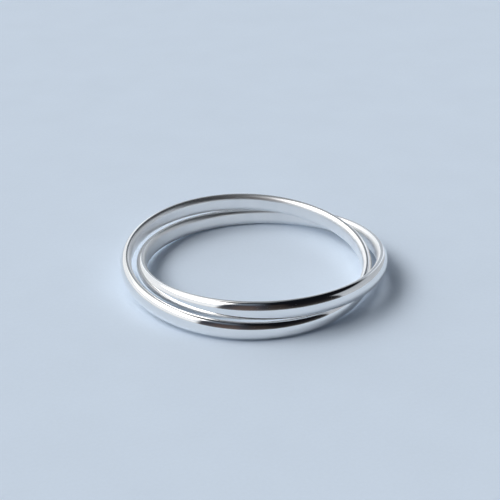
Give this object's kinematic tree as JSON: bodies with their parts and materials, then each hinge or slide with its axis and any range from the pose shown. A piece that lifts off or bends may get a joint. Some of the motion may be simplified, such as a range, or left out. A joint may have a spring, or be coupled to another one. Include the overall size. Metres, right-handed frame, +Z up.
{
  "type": "multi-layer ring",
  "caption": "Finger ring of equal polished silver bands linked through each other, lying on its side with the bands slightly fanned.",
  "frame": {"origin": "on the surface the ring lies on, under the middle between the two bands", "axes": "+Z up from the surface; +X from the left band's centre to the right band's centre; +Y towards the side where the left band is high"},
  "size_m": [0.02, 0.0188, 0.0029],
  "materials": {
    "silver": "mirror-polished sterling silver"
  },
  "bodies": {
    "left_band": {"left_band": "silver"},
    "right_band": {"right_band": "silver"}
  },
  "joints": [
    {"name": "band_roll", "type": "hinge", "parent": "left_band", "child": "right_band", "pos_m": [0.00059, 0, 0.00144], "axis": [0, 0.0821, 0.9966], "continuous": true}
  ]
}
